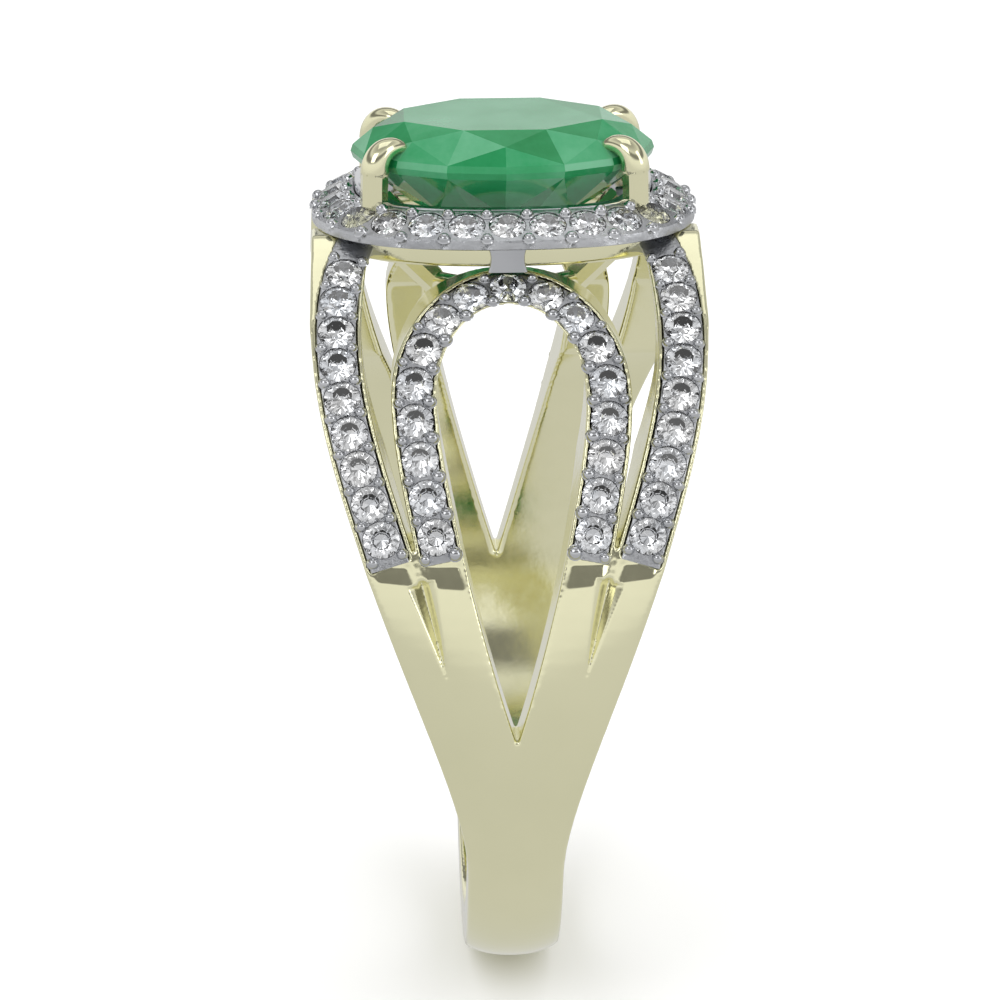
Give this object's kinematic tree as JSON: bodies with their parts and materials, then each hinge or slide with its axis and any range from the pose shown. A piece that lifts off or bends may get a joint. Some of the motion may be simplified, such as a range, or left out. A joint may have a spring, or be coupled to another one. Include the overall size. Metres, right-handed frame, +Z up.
{
  "type": "cocktail ring",
  "caption": "Yellow gold finger ring with an oval green stone on four claws, a pave diamond halo and split shoulders with a pave arch.",
  "frame": {"origin": "centre of the finger hole, in the middle of the ring's width", "axes": "+X along the finger, +Z up through the centre stone, Y across the finger, with the face seen in the usual side picture at -Y"},
  "size_m": [0.0116, 0.0206, 0.026],
  "materials": {
    "yellow_gold": "polished",
    "white_gold": "polished",
    "diamond": "faceted",
    "green_stone": "faceted"
  },
  "bodies": {
    "root": {"shank": "yellow_gold", "gallery_rail": "yellow_gold", "basket_base_rail": "yellow_gold", "claw_front_left": "yellow_gold", "claw_front_right": "yellow_gold", "claw_back_left": "yellow_gold", "claw_back_right": "yellow_gold", "outer_pave_rail_front_left": "white_gold", "outer_pave_rail_front_right": "white_gold", "outer_pave_rail_back_left": "white_gold", "outer_pave_rail_back_right": "white_gold", "arch_pave_rail_front": "white_gold", "arch_pave_rail_back": "white_gold", "arch_connector_front": "white_gold", "arch_connector_back": "white_gold", "halo_frame": "white_gold", "stone_collar": "white_gold", "halo_diamonds": "diamond", "arch_diamonds_front": "diamond", "arch_diamonds_back": "diamond", "outer_diamonds_front_left": "diamond", "outer_diamonds_front_right": "diamond", "outer_diamonds_back_left": "diamond", "outer_diamonds_back_right": "diamond", "centre_stone": "green_stone"}
  },
  "joints": []
}
